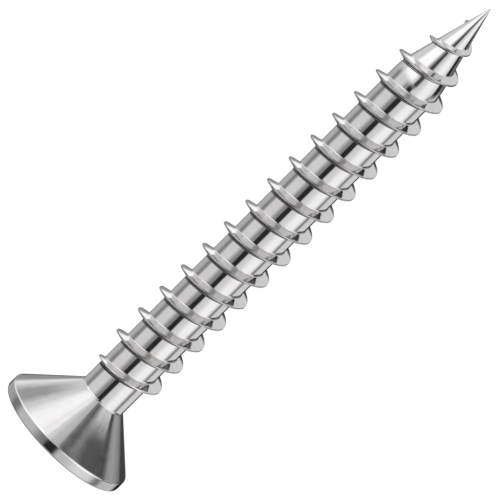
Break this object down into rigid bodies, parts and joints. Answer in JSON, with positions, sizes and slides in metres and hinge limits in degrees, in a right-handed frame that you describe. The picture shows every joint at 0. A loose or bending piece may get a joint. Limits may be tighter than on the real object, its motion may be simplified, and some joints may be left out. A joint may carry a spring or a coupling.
{
  "type": "wood screw",
  "caption": "Countersunk wood screw with a cross recess, a thread that runs from the gimlet point almost to the head, and a short plain neck.",
  "frame": {"origin": "centre of the head's flat face", "axes": "+X along the screw's axis, out of the head's face towards the driver, so the point ends at -X; the arms of the cross recess lie along Y and Z"},
  "size_m": [0.05, 0.0122, 0.0122],
  "materials": {
    "steel": "satin, bright rolled thread"
  },
  "bodies": {
    "root": {"head": "steel", "neck": "steel", "core": "steel", "point": "steel", "thread": "steel"}
  },
  "joints": []
}
